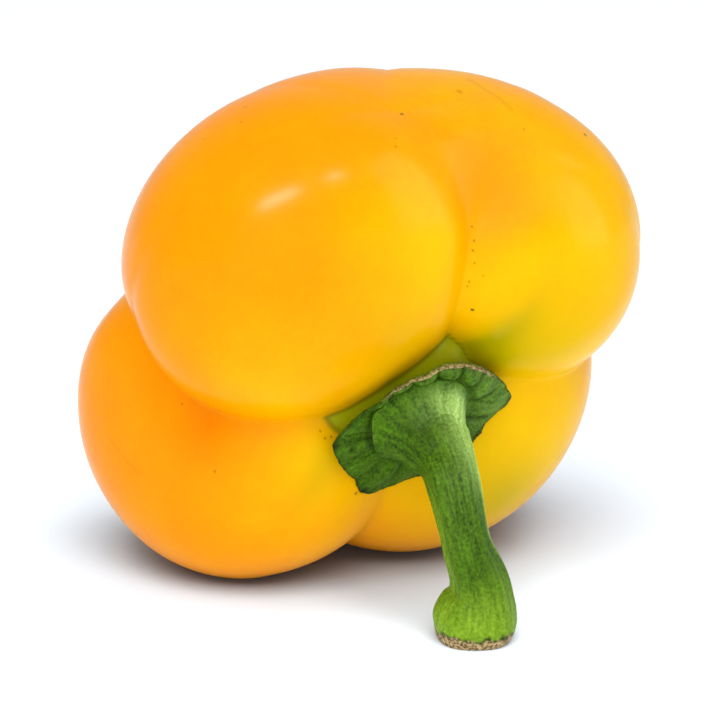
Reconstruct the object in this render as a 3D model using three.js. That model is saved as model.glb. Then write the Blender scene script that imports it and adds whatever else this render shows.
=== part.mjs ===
// A yellow bell pepper lying on its side: the lobed fruit, and its green stem with the calyx.
// Millimetres, +Z up. The floor is z = 0, the stem end looks towards -Y, and the origin is on the
// floor under the middle of the whole pepper, which rests on two lobes and on the stem's cut end.
import * as THREE from 'three';
import { mergeVertices } from 'three/addons/utils/BufferGeometryUtils.js';

// How the pepper lies: the point inside it that every lobe holds, and the way its stem axis points
const FRUIT_MIDDLE = new THREE.Vector3(0.6, -1, 40.6);
const AXIS_DIP = 24.7; // degrees below level
const AXIS_TURN = 25.9; // degrees from -Y towards +X

// A lobe is two ellipsoids run together, a shoulder by the stem and a tip at the far end.
// bearing is its place round the axis and lean its tilt, in degrees; out is the distance from the
// axis, up the distance along it, and size the half-sizes outwards, sideways and along the axis.
const LOBES = [
  {
    bearing: 115,
    lean: -2,
    shoulder: { out: 26, up: 5, size: [26, 28, 19.5] },
    tip: { out: 16, up: -11.5, size: [19.5, 23, 12.5] },
  },
  {
    bearing: 31,
    lean: 13,
    shoulder: { out: 27.5, up: 4.5, size: [21.5, 23, 20.5] },
    tip: { out: 17.5, up: -12.5, size: [18, 28, 16.5] },
  },
  {
    bearing: 218,
    lean: -28,
    shoulder: { out: 23.5, up: 0, size: [26, 20.5, 24] },
    tip: { out: 19, up: -9.5, size: [19, 25, 11.5] },
  },
  {
    bearing: -53,
    lean: 33,
    shoulder: { out: 17, up: 2, size: [24.5, 28, 24.5] },
    tip: { out: 21, up: -11, size: [23.5, 23.5, 15] },
  },
];
const LOBE_BLEND = 14; // how softly a shoulder runs into its tip
const CREASE_BLEND = { near: 0.5, far: 6.5 }; // creases are sharp by the stem and fade behind
const CREASE_FADE = { from: 98, to: 140 }; // degrees from the stem axis
// The crease on the upper side fades sooner, and the skin sinks a little where it has faded
const TOP_CREASE = { bearing: 70, spread: 40, from: 56, to: 84, blend: 8 };
const TOP_SINK = { bearing: 74, spread: 22, from: 60, to: 92, depth: 1.4 };

// The low neck that the calyx sits on, a flattened dome on the axis
const NECK = { up: 15, radius: 15, rise: 9.5 };
const NECK_BLEND = 0.8;

// Shallow furrows that run out from the calyx over two of the lobes, and soft ridges, which are
// furrows of less than no depth
const FURROWS = [
  { start: { bearing: 40, polar: 34 }, end: { bearing: 46, polar: 60 }, depth: 1.8, width: 3.2 },
  { start: { bearing: 192, polar: 33 }, end: { bearing: 215, polar: 56 }, depth: 0.8, width: 4 },
  { start: { bearing: 25, polar: 36 }, end: { bearing: 17, polar: 70 }, depth: -0.7, width: 4 },
  { start: { bearing: 75, polar: 46 }, end: { bearing: 83, polar: 95 }, depth: -0.6, width: 4 },
];
// As shares of a furrow's run: where it starts to sink in, before its start, and to fade out
const FURROW_FADE = { sinks: -0.4, fades: 0.1 };
const FRUIT_DETAIL = 17;

// The calyx: its middle in the fruit's frame, square to the axis, and the tips and hollows of its
// edge, each as bearing, reach and lift. The lift grows with a power of the way out to the edge.
const CALYX_MIDDLE = new THREE.Vector3(0, 2, 24.5);
const CALYX_EDGE = [
  [0, 15.8, 0.2],
  [14, 14.7, 0.4],
  [42, 13.2, 0.8],
  [76, 12.4, 1.3],
  [88, 11.2, 1.5],
  [136, 11, 1.2],
  [166, 13.8, 0.3],
  [179, 15.3, 0],
  [200, 14.7, 0],
  [217, 14.4, 0],
  [232, 15.4, 0],
  [254, 11.6, 0],
  [276, 10, 0],
  [312, 8.6, 0],
  [326, 11, 0],
  [342, 12.4, 0],
  [354, 15.2, 0],
];
const LIFT_POWER = 3;
const CALYX_THICKNESS = 0.9;
const CALYX_GAP = 0.35; // left free between the calyx and the fruit
// From the edge inwards, as a share of the reach, the height of the calyx's face above its plane
const CALYX_FACE = [
  [1, 0.5],
  [0.93, 0.8],
  [0.84, 1.1],
  [0.74, 1.7],
  [0.64, 2.6],
  [0.55, 3.8],
];
const UNDERSIDE_SHARES = [1, 0.9, 0.74, 0.55, 0.3, 0];
const PLEATS = { count: 9, depth: 0.6, share: 0.8, spread: 0.16 };

// The stem's middle line from its cut end up to the bend below the calyx, and its half-widths by
// share of its length. It runs square to the calyx from the bend down to where the flare starts.
const STEM_LINE = [
  new THREE.Vector3(18.4, -35.5, 0),
  new THREE.Vector3(19.3, -36.7, 8.4),
  new THREE.Vector3(17.4, -36.8, 16.2),
  new THREE.Vector3(15.4, -33.4, 24.7),
];
const BEND_HEIGHT = 9.6; // above the calyx's middle, as is the flare's
const FLARE_HEIGHT = 6;
const STEM_WIDTHS = [
  [0.05, 6.3],
  [0.1, 6.7],
  [0.16, 6.3],
  [0.23, 5.4],
  [0.3, 4.8],
  [0.4, 4.1],
  [0.5, 3.65],
  [0.6, 3.75],
  [0.75, 4.1],
  [0.88, 4.4],
  [1, 5.9],
];
const STEM_RINGS = 18;
const CUT_FLAT = 5.2; // half-width of the flat under the cut end
const RIBS = { count: 5, depth: 0.28 };
const SIDES = 72;
const SAME_PLACE = 1e-4; // vertices of a ball this close are one

const degrees = THREE.MathUtils.degToRad;
const smooth = THREE.MathUtils.smoothstep;

// The fruit's frame: z along the stem axis, x as near to the row's X as it can be
const dip = degrees(AXIS_DIP);
const turn = degrees(AXIS_TURN);
const along = new THREE.Vector3(
  Math.sin(turn) * Math.cos(dip),
  -Math.cos(turn) * Math.cos(dip),
  -Math.sin(dip),
);
const across = new THREE.Vector3(1, 0, 0).addScaledVector(along, -along.x).normalize();
const rising = new THREE.Vector3().crossVectors(along, across);
const fruitFrame = new THREE.Matrix4().makeBasis(across, rising, along).setPosition(FRUIT_MIDDLE);
const toFruit = fruitFrame.clone().invert();
const upInFruit = new THREE.Vector3(across.z, rising.z, along.z);

// The ellipsoid of a shoulder or a tip, with its three axes turned to the lobe's bearing and lean
function ellipsoid(lobe, { out, up, size }) {
  const bearing = degrees(lobe.bearing);
  const lean = degrees(lobe.lean);
  const outwards = new THREE.Vector3(Math.cos(bearing), Math.sin(bearing), 0);
  const upwards = new THREE.Vector3(0, 0, 1);
  return {
    size,
    centre: outwards.clone().multiplyScalar(out).addScaledVector(upwards, up),
    axes: [
      outwards.clone().multiplyScalar(Math.cos(lean)).addScaledVector(upwards, Math.sin(lean)),
      new THREE.Vector3(-Math.sin(bearing), Math.cos(bearing), 0),
      upwards.clone().multiplyScalar(Math.cos(lean)).addScaledVector(outwards, -Math.sin(lean)),
    ],
  };
}

const lobes = LOBES.map((lobe) => [ellipsoid(lobe, lobe.shoulder), ellipsoid(lobe, lobe.tip)]);
const neck = ellipsoid(
  { bearing: 0, lean: 0 },
  { out: 0, up: NECK.up, size: [NECK.radius, NECK.radius, NECK.rise] },
);

// How far from the fruit's middle a ray leaves an ellipsoid, or comes closest to it where it misses
function exitDistance(ray, { size, centre, axes }) {
  const r = axes.map((axis, i) => ray.dot(axis) / size[i]);
  const c = axes.map((axis, i) => centre.dot(axis) / size[i]);
  const rr = r[0] * r[0] + r[1] * r[1] + r[2] * r[2];
  const rc = r[0] * c[0] + r[1] * c[1] + r[2] * c[2];
  const cc = c[0] * c[0] + c[1] * c[1] + c[2] * c[2];
  const inside = Math.max(0, rc * rc - rr * (cc - 1));
  return (rc + Math.sqrt(inside)) / rr;
}

// The largest of some lengths, with the corner between them rounded
function softMax(lengths, blend) {
  const most = Math.max(...lengths);
  const sum = lengths.reduce((total, length) => total + Math.exp((length - most) / blend), 0);
  return most + blend * Math.log(sum);
}

// How far a bearing is turned from a line, from -180 to 180 degrees
function turnedFrom(line, bearing) {
  return THREE.MathUtils.euclideanModulo(bearing - line + 180, 360) - 180;
}

// 1 at the bearing of a place, fading over its spread
function nearBearing({ bearing: line, spread }, bearing) {
  const aside = turnedFrom(line, bearing) / spread;
  return Math.exp(-aside * aside);
}

// How deep the furrows are cut at a bearing and an angle from the axis, both in degrees
function furrowDepth(bearing, polar, radius) {
  let depth = 0;
  for (const { start, end, depth: most, width } of FURROWS) {
    const share = (polar - start.polar) / (end.polar - start.polar);
    const kept = THREE.MathUtils.clamp(share, 0, 1);
    const line = THREE.MathUtils.lerp(start.bearing, end.bearing, kept);
    const turned = degrees(turnedFrom(line, bearing));
    const aside = (turned * Math.sin(degrees(polar)) * radius) / width;
    const fade = (1 - smooth(share, FURROW_FADE.fades, 1)) * smooth(share, FURROW_FADE.sinks, 0);
    depth += most * fade * Math.exp(-aside * aside);
  }
  return depth;
}

// The distance from the fruit's middle to its skin along a ray of length 1
function skinDistance(ray) {
  const polar = THREE.MathUtils.radToDeg(Math.acos(THREE.MathUtils.clamp(ray.z, -1, 1)));
  const bearing = THREE.MathUtils.radToDeg(Math.atan2(ray.y, ray.x));
  const onTop = nearBearing(TOP_CREASE, bearing);
  const from = THREE.MathUtils.lerp(CREASE_FADE.from, TOP_CREASE.from, onTop);
  const to = THREE.MathUtils.lerp(CREASE_FADE.to, TOP_CREASE.to, onTop);
  const fade = smooth(polar, from, to);
  const far = THREE.MathUtils.lerp(CREASE_BLEND.far, TOP_CREASE.blend, onTop);
  const blend = THREE.MathUtils.lerp(CREASE_BLEND.near, far, fade);
  const lengths = lobes.map((pair) =>
    softMax(
      pair.map((one) => exitDistance(ray, one)),
      LOBE_BLEND,
    ),
  );
  const sink = TOP_SINK.depth * nearBearing(TOP_SINK, bearing) * smooth(polar, TOP_SINK.from, TOP_SINK.to);
  const lobed = softMax(lengths, blend) - sink;
  const furrowed = lobed - furrowDepth(bearing, polar, lobed);
  return softMax([furrowed, exitDistance(ray, neck)], NECK_BLEND);
}

// Lifts a point of the fruit's frame to the floor where it would be below it: the flat resting spots
function onFloor(point) {
  const height = point.dot(upInFruit) + FRUIT_MIDDLE.z;
  return height < 0 ? point.addScaledVector(upInFruit, -height) : point;
}

// A sphere geometry with one vertex at each place, ready to be given its shape
function weld(ball) {
  ball.deleteAttribute('normal');
  ball.deleteAttribute('uv');
  return mergeVertices(ball, SAME_PLACE);
}

function fruitGeometry() {
  const skin = weld(new THREE.IcosahedronGeometry(1, FRUIT_DETAIL));
  const places = skin.attributes.position;
  const ray = new THREE.Vector3();
  for (let i = 0; i < places.count; i += 1) {
    ray.fromBufferAttribute(places, i).normalize();
    const point = onFloor(ray.multiplyScalar(skinDistance(ray)));
    places.setXYZ(i, point.x, point.y, point.z);
  }
  skin.computeVertexNormals();
  return skin;
}

function calyxPoint(reach, bearing, height) {
  const around = new THREE.Vector3(reach * Math.cos(bearing), reach * Math.sin(bearing), height);
  return around.add(CALYX_MIDDLE);
}

// Moves a point out along its ray until it is clear of the fruit's skin
function clearOfSkin(point, gap) {
  const length = point.length();
  const ray = point.clone().divideScalar(length);
  return ray.multiplyScalar(Math.max(length, skinDistance(ray) + gap));
}

// The reach and lift of the calyx's edge at a bearing in radians: straight runs from tip to hollow
function edgeAt(bearing) {
  const around = THREE.MathUtils.euclideanModulo(THREE.MathUtils.radToDeg(bearing), 360);
  const closed = [...CALYX_EDGE, [360, ...CALYX_EDGE[0].slice(1)]];
  const next = Math.max(1, closed.findIndex(([angle]) => angle >= around));
  const [angle0, reach0, lift0] = closed[next - 1];
  const [angle1, reach1, lift1] = closed[next];
  const share = (around - angle0) / (angle1 - angle0);
  return {
    reach: THREE.MathUtils.lerp(reach0, reach1, share),
    lift: THREE.MathUtils.lerp(lift0, lift1, share),
  };
}

// Radial folds of the calyx's face, deepest some way in from the edge
function pleat(bearing, share) {
  const nearness = Math.exp(-(((share - PLEATS.share) / PLEATS.spread) ** 2));
  return PLEATS.depth * nearness * Math.cos(PLEATS.count * bearing);
}

// The stem's rings, each a function from a bearing to a point of the fruit's frame
function stemRings() {
  const top = calyxPoint(0, 0, FLARE_HEIGHT);
  const bend = calyxPoint(0, 0, BEND_HEIGHT);
  const points = STEM_LINE.map((point) => point.clone().applyMatrix4(toFruit));
  const line = new THREE.CatmullRomCurve3([...points, bend, top]);
  const widths = new THREE.SplineCurve(STEM_WIDTHS.map((pair) => new THREE.Vector2(...pair)));
  const rings = [];
  for (let i = 0; i <= STEM_RINGS; i += 1) {
    const { x: share, y: width } = widths.getPoint(i / STEM_RINGS);
    const middle = line.getPointAt(Math.min(share, 1));
    const down = line.getTangentAt(Math.min(share, 1)).negate();
    const side = new THREE.Vector3(1, 0, 0).addScaledVector(down, -down.x).normalize();
    const front = new THREE.Vector3().crossVectors(down, side);
    rings.push((bearing) => {
      const reach = width + RIBS.depth * Math.cos(RIBS.count * bearing);
      const point = middle.clone();
      point.addScaledVector(side, reach * Math.cos(bearing));
      return onFloor(point.addScaledVector(front, reach * Math.sin(bearing)));
    });
  }
  return rings;
}

// The flat cut end that stands on the floor: its middle, then its edge
function cutRings() {
  const middle = STEM_LINE[0];
  const ring = (reach) => (bearing) =>
    new THREE.Vector3(
      middle.x + reach * Math.cos(bearing),
      middle.y - reach * Math.sin(bearing),
      0,
    ).applyMatrix4(toFruit);
  return [ring(0), ring(CUT_FLAT / 2), ring(CUT_FLAT)];
}

// A point of the calyx, a share of the way out to its edge and at a height above its plain disc
function leafPoint(share, bearing, height) {
  const { reach, lift } = edgeAt(bearing);
  return calyxPoint(share * reach, bearing, height + lift * share ** LIFT_POWER + pleat(bearing, share));
}

// The calyx's rings: its face from the flare out to the edge, then its underside back to the middle
function calyxRings() {
  const face = [...CALYX_FACE].reverse().map(([share, height]) => (bearing) =>
    clearOfSkin(leafPoint(share, bearing, height), CALYX_GAP + CALYX_THICKNESS));
  const under = CALYX_FACE[0][1] - CALYX_THICKNESS;
  const underside = UNDERSIDE_SHARES.map((share) => (bearing) =>
    clearOfSkin(leafPoint(share, bearing, under), CALYX_GAP));
  return [...face, ...underside];
}

function stemGeometry() {
  const rings = [...cutRings(), ...stemRings(), ...calyxRings()];
  const rows = rings.length - 1;
  const ball = new THREE.SphereGeometry(1, SIDES, rows);
  const places = ball.attributes.position;
  for (let i = 0; i < places.count; i += 1) {
    const row = Math.floor(i / (SIDES + 1));
    const bearing = (2 * Math.PI * ((i % (SIDES + 1)) % SIDES)) / SIDES;
    const point = rings[row](bearing);
    places.setXYZ(i, point.x, point.y, point.z);
  }
  const skin = weld(ball);
  skin.computeVertexNormals();
  return skin;
}

function mesh(name, geometry, color, roughness) {
  const material = new THREE.MeshStandardMaterial({ color, roughness, metalness: 0 });
  const made = new THREE.Mesh(geometry, material);
  made.name = name;
  return made;
}

const asItLies = new THREE.Group();
asItLies.add(mesh('fruit', fruitGeometry(), '#f9a602', 0.3));
asItLies.add(mesh('stem_with_calyx', stemGeometry(), '#668f2a', 0.7));
asItLies.applyMatrix4(fruitFrame);

const pepper = new THREE.Group();
pepper.add(asItLies);

export default pepper;
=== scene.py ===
# %% [markdown]
# A yellow bell pepper lying on its side
#
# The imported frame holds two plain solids: the lobed fruit, and the green stem that widens into the
# calyx. This lesson dresses both with finer meshes of the same form and gives them waxy skin and
# leafy green finishes. Shapes are worked out in millimetres and turned into metres at the end.

# %% Load the frame
import math

import bmesh
import bpy
import numpy as np
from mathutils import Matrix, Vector, noise


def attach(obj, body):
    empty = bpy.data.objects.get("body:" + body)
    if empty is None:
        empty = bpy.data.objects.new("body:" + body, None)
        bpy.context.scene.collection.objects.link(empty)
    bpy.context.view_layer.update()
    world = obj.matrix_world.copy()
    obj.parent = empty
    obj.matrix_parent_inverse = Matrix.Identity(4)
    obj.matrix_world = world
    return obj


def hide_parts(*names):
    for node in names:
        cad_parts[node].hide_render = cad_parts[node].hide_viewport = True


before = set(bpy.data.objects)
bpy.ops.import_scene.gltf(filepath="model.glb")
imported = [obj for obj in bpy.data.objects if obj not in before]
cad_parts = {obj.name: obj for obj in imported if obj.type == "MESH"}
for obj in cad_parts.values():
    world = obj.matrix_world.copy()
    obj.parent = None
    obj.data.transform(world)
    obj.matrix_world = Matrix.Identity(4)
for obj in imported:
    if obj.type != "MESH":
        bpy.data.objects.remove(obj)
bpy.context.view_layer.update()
MM = 0.001

# %% [markdown]
# The frame of the fruit
#
# A pepper grows round its stem axis, so its lobes are easiest to describe by a bearing round that
# axis and an angle from it. The pepper lies on two lobes and on the cut end of its stem, so the axis
# dips. Two small functions carry points between the fruit's own frame and the row's frame.

# %% Fruit axes
FRUIT_MIDDLE = np.array((0.6, -1.0, 40.6))
AXIS_DIP = math.radians(24.7)  # below level
AXIS_TURN = math.radians(25.9)  # from -Y towards +X


def unit(vectors):
    return vectors / np.linalg.norm(vectors, axis=-1, keepdims=True)


def fruit_axes():
    """The fruit's x, y and z as rows: across, rising, and along the stem axis."""
    level = math.cos(AXIS_DIP)
    along = np.array((math.sin(AXIS_TURN) * level, -math.cos(AXIS_TURN) * level, -math.sin(AXIS_DIP)))
    across = unit(np.array((1.0, 0.0, 0.0)) - along[0] * along)
    return np.stack((across, np.cross(along, across), along))


AXES = fruit_axes()


def to_row(points):
    return points @ AXES + FRUIT_MIDDLE


def to_fruit(points):
    return (points - FRUIT_MIDDLE) @ AXES.T


def smooth_step(low, high, values):
    share = np.clip((values - low) / (high - low), 0, 1)
    return share * share * (3 - 2 * share)


print("stem axis in the row's frame:", np.round(AXES[2], 3))

# %% [markdown]
# The camera
#
# The photograph looks down by about fifteen degrees from half a metre away, with the stem end
# towards it. A long lens keeps the lobes from bulging. The frame's middle is a little under the
# middle of the fruit, so the camera is lowered along the image instead of being shifted.

# %% Camera
CAMERA_RISE = math.radians(15)
CAMERA_DISTANCE = 520
FRAME_DROP = 3.9  # from the fruit's middle down to the middle of the frame
LENS = 156
SENSOR = 36
towards_camera = np.array((0, -math.cos(CAMERA_RISE), math.sin(CAMERA_RISE)))
image_up = np.array((0, math.sin(CAMERA_RISE), math.cos(CAMERA_RISE)))
camera_data = bpy.data.cameras.new("camera")
camera_data.lens = LENS
camera_data.sensor_width = SENSOR
camera = bpy.data.objects.new("camera", camera_data)
camera.location = (FRUIT_MIDDLE - FRAME_DROP * image_up + CAMERA_DISTANCE * towards_camera) * MM
camera.rotation_euler = (math.pi / 2 - CAMERA_RISE, 0, 0)
bpy.context.scene.collection.objects.link(camera)
bpy.context.scene.camera = camera
print("camera at", [round(x, 3) for x in camera.location])

# %% [markdown]
# The lobed skin as a formula
#
# Every lobe of the fruit is close to two ellipsoids run together, a shoulder by the stem and a tip
# behind. Seen from a point inside, each ray leaves an ellipsoid at one distance, so the skin is the
# largest of those distances with its corners rounded. Sculpting could give the same form, but a
# formula keeps the mesh and the solid alike, and it also says how near a point is to a crease.

# %% Lobes
LOBES = {
    "upper_left": {"bearing": 115, "lean": -2, "shoulder": (26, 5, (26, 28, 19.5)),
                   "tip": (16, -11.5, (19.5, 23, 12.5))},
    "upper_right": {"bearing": 31, "lean": 13, "shoulder": (27.5, 4.5, (21.5, 23, 20.5)),
                    "tip": (17.5, -12.5, (18, 28, 16.5))},
    "lower_left": {"bearing": 218, "lean": -28, "shoulder": (23.5, 0, (26, 20.5, 24)),
                   "tip": (19, -9.5, (19, 25, 11.5))},
    "lower_right": {"bearing": -53, "lean": 33, "shoulder": (17, 2, (24.5, 28, 24.5)),
                    "tip": (21, -11, (23.5, 23.5, 15))},
}
LOBE_BLEND = 14
CREASE_BLEND = (0.5, 6.5)  # sharp by the stem, soft behind
CREASE_FADE = (98, 140)  # degrees from the stem axis
TOP_CREASE = {"bearing": 70, "spread": 40, "fade": (62, 86), "blend": 8}  # this one fades sooner
TOP_SINK = {"bearing": 74, "spread": 22, "fade": (60, 92), "depth": 1.4}  # where it has faded
NECK = (0, 15, (15, 15, 9.5))  # the low dome that the calyx sits on
NECK_BLEND = 0.7
# bearing, angle from the axis and spread in degrees, then height
NECK_SWELLS = ((114, 33, 6, 1.4), (150, 34, 5, -0.6), (88, 32, 5, -0.5), (52, 34, 6, 0.8),
               (168, 34, 5, 0.5))


def ellipsoid(bearing, lean, out, up, size):
    """Centre, axes as rows and half-sizes of one swelling, at a bearing and a lean in degrees."""
    turn, tilt = math.radians(bearing), math.radians(lean)
    outwards = np.array((math.cos(turn), math.sin(turn), 0))
    sideways = np.array((-math.sin(turn), math.cos(turn), 0))
    upwards = np.array((0, 0, 1))
    centre = out * outwards + up * upwards
    leaning = math.cos(tilt) * outwards + math.sin(tilt) * upwards
    standing = math.cos(tilt) * upwards - math.sin(tilt) * outwards
    return centre, np.stack((leaning, sideways, standing)), np.array(size)


def exit_distance(rays, swelling):
    """How far along each ray it leaves the swelling, or comes closest to it where it misses."""
    centre, axes, size = swelling
    ray = rays @ axes.T / size
    middle = axes @ centre / size
    square = (ray * ray).sum(1)
    cross = ray @ middle
    inside = np.maximum(cross * cross - square * (middle @ middle - 1), 0)
    return (cross + np.sqrt(inside)) / square


def soft_max(lengths, blend):
    return blend * np.logaddexp.reduce(np.stack(lengths) / blend)


swellings = [[ellipsoid(lobe["bearing"], lobe["lean"], *lobe[part]) for part in ("shoulder", "tip")]
             for lobe in LOBES.values()]
neck_dome = ellipsoid(0, 0, *NECK)
print("lobes:", ", ".join(LOBES))

# %% [markdown]
# Furrows and the whole skin
#
# Two shallow furrows run out from the calyx over the lobes, as on most peppers, and two soft ridges
# lie beside them, which are furrows of less than no depth. Each is a line from one bearing and angle
# to another, with a soft round groove across it. The neck isn't quite round either, so its dome has
# a few gentle swells. The upper crease fades sooner than the others and leaves a slight hollow.

# %% Skin distance
FURROWS = [
    {"bearing": (40, 47), "polar": (34, 64), "depth": 1.8, "width": 2.5},
    {"bearing": (192, 215), "polar": (33, 56), "depth": 0.8, "width": 4},
    {"bearing": (25, 17), "polar": (36, 70), "depth": -0.7, "width": 4},
    {"bearing": (75, 83), "polar": (46, 95), "depth": -0.6, "width": 4},
]
FURROW_SINKS = -0.4  # as shares of the furrow's run
FURROW_FADES = 0.1


def angles_of(rays):
    """Bearing round the axis and angle from it, in degrees."""
    bearing = np.degrees(np.arctan2(rays[:, 1], rays[:, 0]))
    return bearing, np.degrees(np.arccos(np.clip(rays[:, 2], -1, 1)))


def turned_by(bearing, line):
    return (bearing - line + 180) % 360 - 180


def near_line(bearing, line):
    """1 at the bearing of a line, fading over its spread."""
    return np.exp(-(turned_by(bearing, line["bearing"]) / line["spread"]) ** 2)


def furrow_depths(rays, radius):
    bearing, polar = angles_of(rays)
    depths = []
    for furrow in FURROWS:
        first, last = furrow["polar"]
        share = (polar - first) / (last - first)
        line = np.interp(share, (0, 1), furrow["bearing"])
        aside = np.radians(turned_by(bearing, line)) * np.sin(np.radians(polar)) * radius / furrow["width"]
        fade = (1 - smooth_step(FURROW_FADES, 1, share)) * smooth_step(FURROW_SINKS, 0, share)
        depths.append(furrow["depth"] * fade * np.exp(-aside * aside))
    return depths


def lobe_lengths(rays):
    return [soft_max([exit_distance(rays, one) for one in pair], LOBE_BLEND) for pair in swellings]


def patch(rays, bearing, polar, spread):
    """1 at a place on the skin, fading over so many degrees."""
    turn, tip = math.radians(bearing), math.radians(polar)
    middle = np.array((math.sin(tip) * math.cos(turn), math.sin(tip) * math.sin(turn), math.cos(tip)))
    apart = np.degrees(np.arccos(np.clip(rays @ middle, -1, 1)))
    return np.exp(-(apart / spread) ** 2)


def neck_distance(rays):
    """The neck's dome, with a few gentle swells where it isn't round."""
    swells = sum(height * patch(rays, *place) for *place, height in NECK_SWELLS)
    return exit_distance(rays, neck_dome) + swells


def skin_distance(rays):
    bearing, polar = angles_of(rays)
    on_top = near_line(bearing, TOP_CREASE)
    near, far = CREASE_BLEND
    far = far + (TOP_CREASE["blend"] - far) * on_top
    starts, ends = (usual + (sooner - usual) * on_top
                    for usual, sooner in zip(CREASE_FADE, TOP_CREASE["fade"]))
    blend = near + (far - near) * smooth_step(starts, ends, polar)
    sink = TOP_SINK["depth"] * near_line(bearing, TOP_SINK) * smooth_step(*TOP_SINK["fade"], polar)
    lobed = soft_max(lobe_lengths(rays), blend) - sink
    furrowed = lobed - sum(furrow_depths(rays, lobed))
    return soft_max([furrowed, neck_distance(rays)], NECK_BLEND)


print("skin at the stem end:", skin_distance(np.array([[0.0, 0.0, 1.0]]))[0].round(2), "mm from the middle")

# %% [markdown]
# The fruit
#
# The skin starts as an icosphere, whose triangles are even all over. Its vertices are drawn towards
# the stem end, where the creases meet and the mesh has to be finest, and then moved out along their
# rays to the skin. A real pepper isn't a smooth ellipsoid: slow swells of a fraction of a millimetre
# bend its highlights. Where a lobe would dip below the floor it is pressed flat, as soft skin is.

# %% Fruit mesh
FRUIT_SUBDIVISIONS = 7
STEM_END_PULL = 0.4  # how strongly vertices gather at the stem end
SWELL_SIZE = 17
SWELL_HEIGHT = 0.22
SWELL_FREE = (45, 70)  # degrees from the axis: no swells under the calyx


def gathered(rays):
    bearing, polar = np.radians(angles_of(rays))
    polar = polar - STEM_END_PULL * np.sin(polar)
    return np.stack((np.sin(polar) * np.cos(bearing), np.sin(polar) * np.sin(bearing), np.cos(polar)), 1)


def noise_at(points, size):
    return np.array([noise.noise(Vector(point)) for point in points / size])


def on_floor(points):
    """Points of the row's frame, lifted to the floor where they would be below it."""
    points[:, 2] = np.maximum(points[:, 2], 0)
    return points


def mesh_piece(name, mesh_maker, places):
    """A new object at the origin from a bmesh whose vertices move to places, in millimetres."""
    for vertex, place in zip(mesh_maker.verts, places * MM):
        vertex.co = place
    bmesh.ops.recalc_face_normals(mesh_maker, faces=mesh_maker.faces)
    for face in mesh_maker.faces:
        face.smooth = True
    mesh = bpy.data.meshes.new(name)
    mesh_maker.to_mesh(mesh)
    mesh_maker.free()
    made = bpy.data.objects.new(name, mesh)
    bpy.context.scene.collection.objects.link(made)
    print(name, len(mesh.vertices), "vertices,", sum(len(p.vertices) - 2 for p in mesh.polygons), "triangles")
    return made


ball = bmesh.new()
bmesh.ops.create_icosphere(ball, subdivisions=FRUIT_SUBDIVISIONS, radius=1)
fruit_rays = gathered(unit(np.array([vertex.co for vertex in ball.verts])))
fruit_lengths = skin_distance(fruit_rays)
fruit_polar = angles_of(fruit_rays)[1]
swell = noise_at(fruit_rays * fruit_lengths[:, None], SWELL_SIZE) * smooth_step(*SWELL_FREE, fruit_polar)
fruit_places = fruit_rays * (fruit_lengths + SWELL_HEIGHT * swell)[:, None]
fruit = mesh_piece("waxy_fruit", ball, on_floor(to_row(fruit_places)))
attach(fruit, "root")
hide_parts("fruit")

# %% [markdown]
# What colours the skin
#
# The skin isn't one yellow. Lobes that ripened longer are more orange, the skin pales towards the
# stem, and it stays olive on the neck, in the furrows and in a halo round the calyx. Along the upper
# crease the orange is deepened as painted shade. A dark brown line follows the fold between lobes and
# neck, and beside the upper crease the wax is thin. Painting by hand could give all this. Here each
# is worked out at every vertex and kept as an attribute that the material reads, so it follows the
# shape.

# %% Skin attributes
RIPENESS = {"upper_left": 0.55, "upper_right": 0.33, "lower_left": 0.56, "lower_right": 0.45}
RIPENESS_BLEND = 4
# patches: bearing, angle from the axis and spread in degrees, then what they add
# two of the patches, at bearings 63 and 65 along the upper crease, deepen the orange as painted shade
RIPE_AND_SHADE_PATCHES = (
    (84, 60, 16, -0.42), (63, 66, 9, 0.2), (65, 76, 8, 0.12), (80, 92, 16, -0.15), (-22, 44, 26, -0.4),
    (-98, 45, 18, 0.05), (177, 72, 10, 0.15), (33, 68, 18, -0.2), (150, 55, 14, -0.2), (-175, 40, 10, -0.2))
OLIVE_PATCHES = ((45, 35, 5, 0.6), (31, 35, 5, 0.5), (47, 41, 8, 0.4), (-54, 43, 13, 0.58),
                 (27, 44, 11, 0.35), (101, 40, 11, 0.25))
DULL_PATCHES = ((61, 76, 9, 0.9), (62, 66, 7, 0.8), (58, 84, 8, 0.7))  # where the wax is thin
PALE_BY_STEM = (30, 75)  # degrees from the axis over which the skin deepens
STEM_PALING = 0.3
NECK_EDGE = (-1.2, 0.5)  # how far the neck stands out of the lobes where its green starts and is full
HALO = 3.5  # how deep under the lobes the neck still greens them
HALO_OLIVE = 0.35
FURROW_OLIVE = 0.3
SEAM = {"at": -0.1, "width": 0.6, "share": 0.55}  # the dark line where the lobes fold in to the neck


def add_attribute(piece, name, values):
    kind = "FLOAT_VECTOR" if values.ndim == 2 else "FLOAT"
    attribute = piece.data.attributes.new(name, kind, "POINT")
    attribute.data.foreach_set("vector" if values.ndim == 2 else "value", values.astype(np.float32).ravel())


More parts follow.
